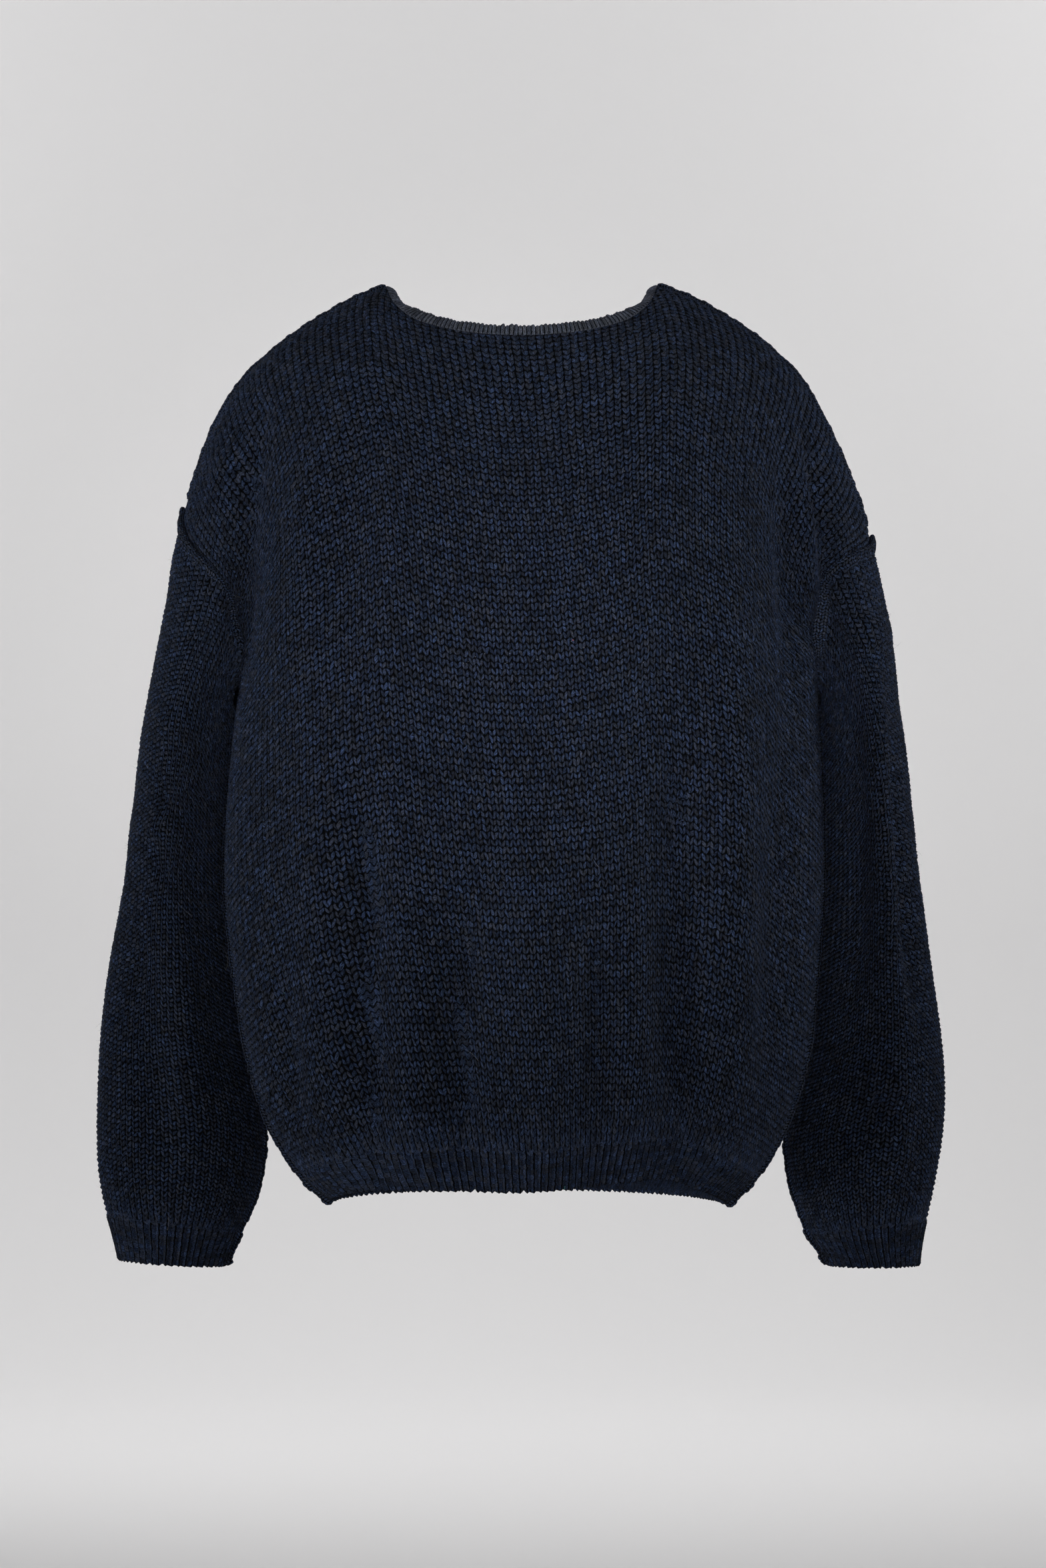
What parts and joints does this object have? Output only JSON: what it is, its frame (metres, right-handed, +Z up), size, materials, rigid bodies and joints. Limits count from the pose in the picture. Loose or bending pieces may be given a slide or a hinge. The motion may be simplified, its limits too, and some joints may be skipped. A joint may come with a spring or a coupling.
{
  "type": "v-neck sweater",
  "caption": "Loose chunky-knit jumper in its worn, hollow form, with dropped shoulders, ribbed hem and cuffs, a V front and seams raised on the outside.",
  "frame": {"origin": "midway between the two neck points, where the wearer's shoulders carry the jumper", "axes": "+Z up, the front faces -Y, +X is the wearer's left"},
  "size_m": [0.6298, 0.2524, 0.7274],
  "materials": {
    "knit": "chunky stocking-stitch knit in heathered navy and black yarn, slightly hairy, matt with a soft pale nap",
    "band": "fine rib band in the same yarn, paler where its fibres catch the light",
    "seam": "linked seam edge of the same knit, turned to the outside"
  },
  "bodies": {
    "root": {"back": "knit", "front": "knit", "sleeve_left": "knit", "sleeve_right": "knit", "neckband": "band", "shoulder_seam_left": "seam", "shoulder_seam_right": "seam", "armhole_seam_left": "seam", "armhole_seam_right": "seam", "side_seam_left": "seam", "side_seam_right": "seam", "sleeve_seam_left": "seam", "sleeve_seam_right": "seam"}
  },
  "joints": []
}
